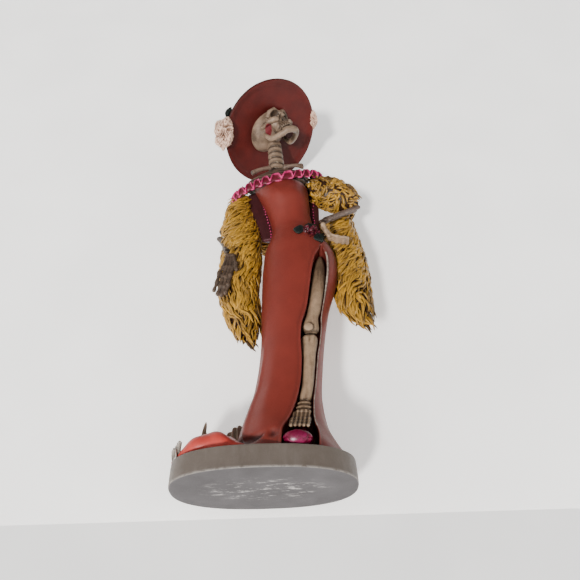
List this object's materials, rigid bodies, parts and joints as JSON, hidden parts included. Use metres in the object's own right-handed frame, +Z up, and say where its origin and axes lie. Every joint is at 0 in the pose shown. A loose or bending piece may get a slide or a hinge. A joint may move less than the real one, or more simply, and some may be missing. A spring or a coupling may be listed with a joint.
{
  "type": "catrina figure",
  "caption": "Standing skeleton lady figure in a sun hat, ruffled gown with a side slit and a feather boa, on an oval plinth.",
  "frame": {"origin": "centre of the plinth's oval underside", "axes": "+Z up through the figure, -Y the way the lady faces, +X to her left, along the plinth's length"},
  "size_m": [0.1247, 0.0891, 0.3236],
  "materials": {
    "plinth_grey": "painted cast resin, matt, worn edge",
    "gown_red": "painted cast resin, satin",
    "ruffle_magenta": "painted cast resin with dark wash",
    "shoe_pink": "painted cast resin, satin",
    "bone_cream": "painted cast resin with brown wash",
    "petticoat_beige": "painted cast resin with brown wash",
    "lace_white": "painted cast resin, dry-brushed white",
    "flower_white": "painted cast resin, dry-brushed white",
    "leaf_green": "painted cast resin, dark green",
    "band_maroon": "painted cast resin, dark red",
    "boa_gold": "painted cast resin with brown wash",
    "rose_crimson": "painted cast resin, satin",
    "rod_steel": "bare steel rod"
  },
  "bodies": {
    "root": {"armature_rod": "rod_steel", "base_plinth": "plinth_grey", "boa_back": "boa_gold", "boa_drape_left": "boa_gold", "boa_drape_right": "boa_gold", "boa_sleeve_left": "boa_gold", "collar_bone_left": "bone_cream", "collar_bone_right": "bone_cream", "collar_ruffle": "ruffle_magenta", "femur": "bone_cream", "foot": "bone_cream", "gown": "gown_red", "hand_left": "bone_cream", "hand_right": "bone_cream", "hat": "gown_red", "hat_band": "band_maroon", "hat_flower_left": "flower_white", "hat_flower_right": "flower_white", "hat_leaf_1": "leaf_green", "hat_leaf_2": "leaf_green", "hat_leaf_3": "leaf_green", "hip_rose": "rose_crimson", "humerus_left": "bone_cream", "humerus_right": "bone_cream", "jaw": "bone_cream", "kneecap": "bone_cream", "lining_web_left": "band_maroon", "lining_web_right": "band_maroon", "neck_vertebra_1": "bone_cream", "neck_vertebra_2": "bone_cream", "neck_vertebra_3": "bone_cream", "neck_vertebra_4": "bone_cream", "neck_vertebra_5": "bone_cream", "petticoat_ruffle": "petticoat_beige", "radius_left": "bone_cream", "radius_right": "bone_cream", "rose_leaf_1": "leaf_green", "rose_leaf_2": "leaf_green", "rose_leaf_3": "leaf_green", "shoe": "shoe_pink", "skull": "bone_cream", "slit_trim": "petticoat_beige", "tibia": "bone_cream", "train": "gown_red", "train_lace": "lace_white", "ulna_left": "bone_cream", "ulna_right": "bone_cream", "upper_chest": "bone_cream"}
  },
  "joints": []
}
